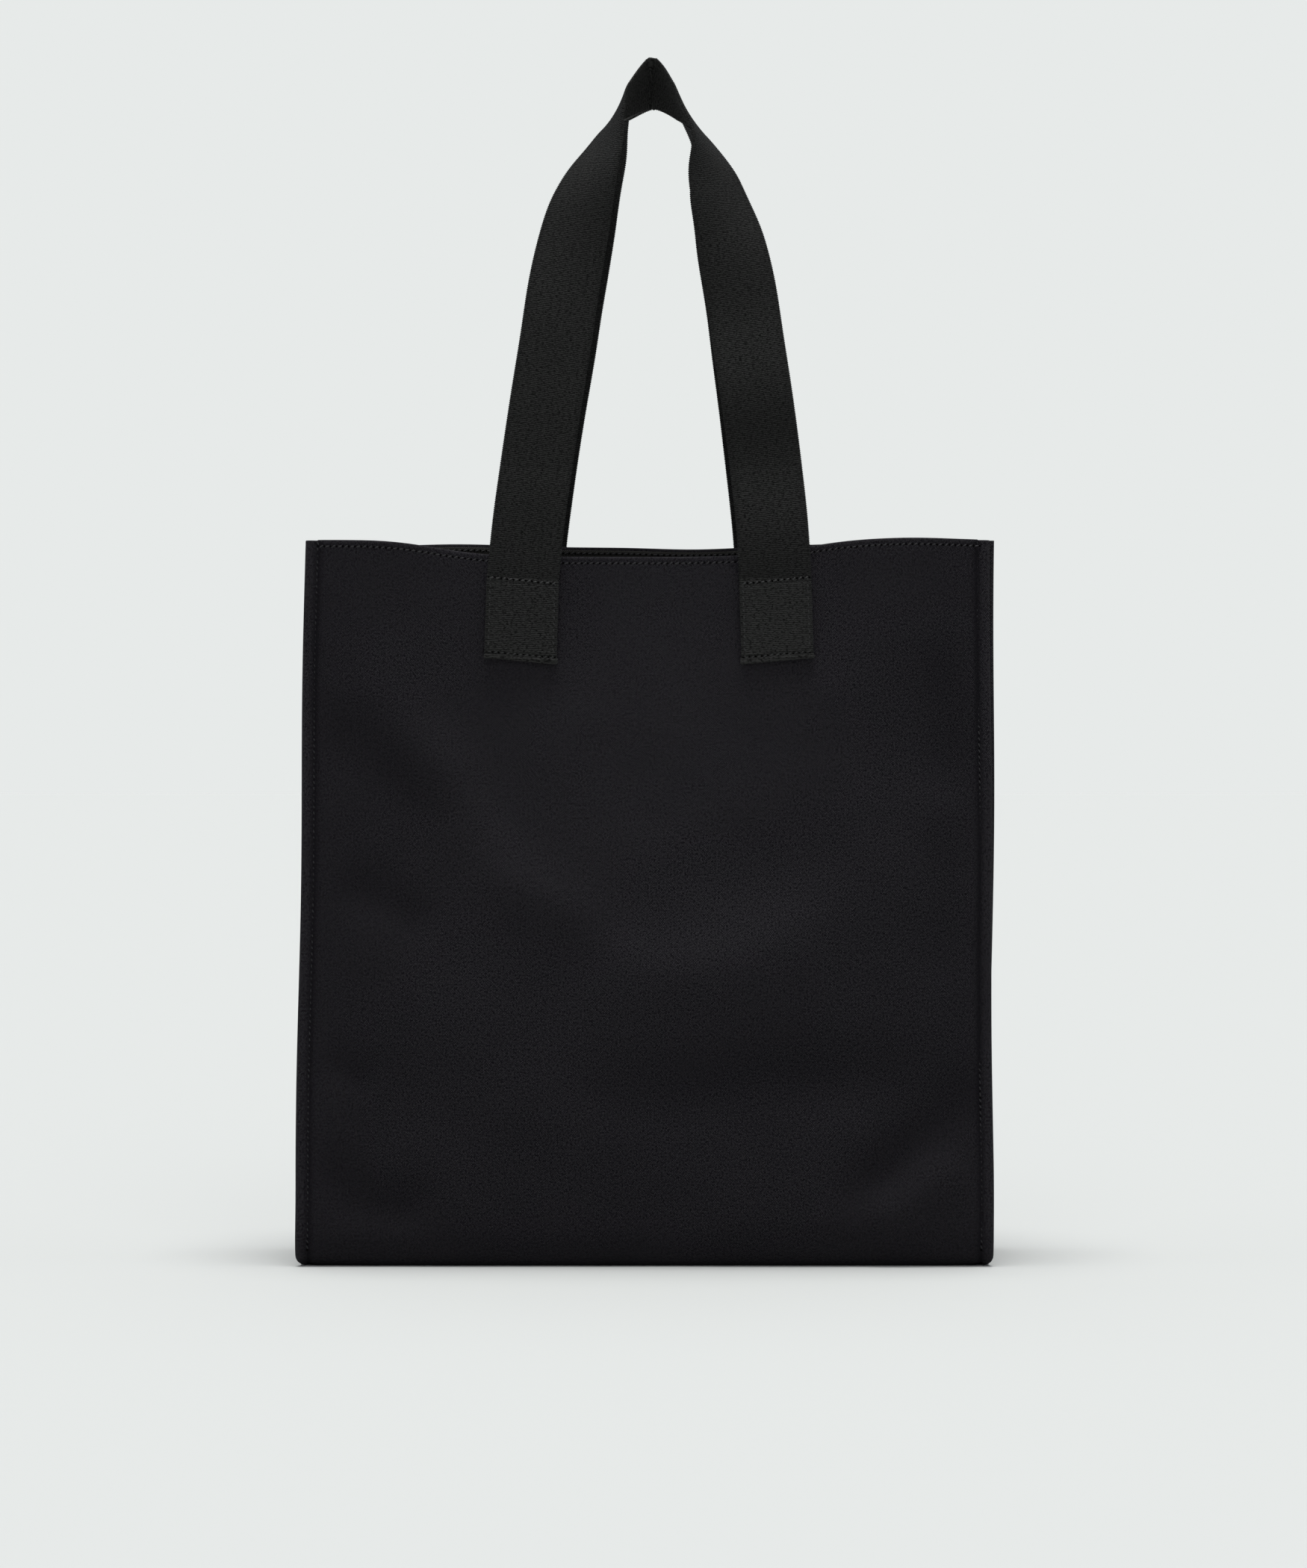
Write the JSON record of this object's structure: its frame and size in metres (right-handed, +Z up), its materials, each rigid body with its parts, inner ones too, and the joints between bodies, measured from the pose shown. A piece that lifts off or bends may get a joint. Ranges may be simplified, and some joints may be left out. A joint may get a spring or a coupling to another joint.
{
  "type": "canvas tote bag",
  "caption": "Black canvas tote bag with flat sides, turned-out side seams, a flat bottom and webbing handles that swing down.",
  "frame": {"origin": "on the floor, under the middle of the bag", "axes": "+X to the right seen from the front, +Y towards the back, +Z up through the mouth"},
  "size_m": [0.388, 0.128, 0.6758],
  "materials": {
    "canvas": "matt plain-weave canvas, black",
    "webbing": "ribbed cotton webbing, black",
    "tape": "twill tape, black",
    "thread": "slightly glossy sewing thread, black"
  },
  "bodies": {
    "bag": {"main_panel": "canvas", "left_gusset": "canvas", "right_gusset": "canvas", "mouth_tape": "tape", "mouth_hem_stitching": "thread", "left_seam_stitching": "thread", "right_seam_stitching": "thread", "front_left_end": "webbing", "front_right_end": "webbing", "back_left_end": "webbing", "back_right_end": "webbing", "front_left_end_stitching": "thread", "front_right_end_stitching": "thread", "back_left_end_stitching": "thread", "back_right_end_stitching": "thread"},
    "front_loop": {"front_handle": "webbing"},
    "back_loop": {"back_handle": "webbing"}
  },
  "joints": [
    {"name": "front_handle_swing", "type": "hinge", "parent": "bag", "child": "front_loop", "pos_m": [0, -0.0641, 0.383], "axis": [1, 0, 0], "range_deg": [0, 175]},
    {"name": "back_handle_swing", "type": "hinge", "parent": "bag", "child": "back_loop", "pos_m": [0, 0.0641, 0.383], "axis": [-1, 0, 0], "range_deg": [0, 175]}
  ]
}
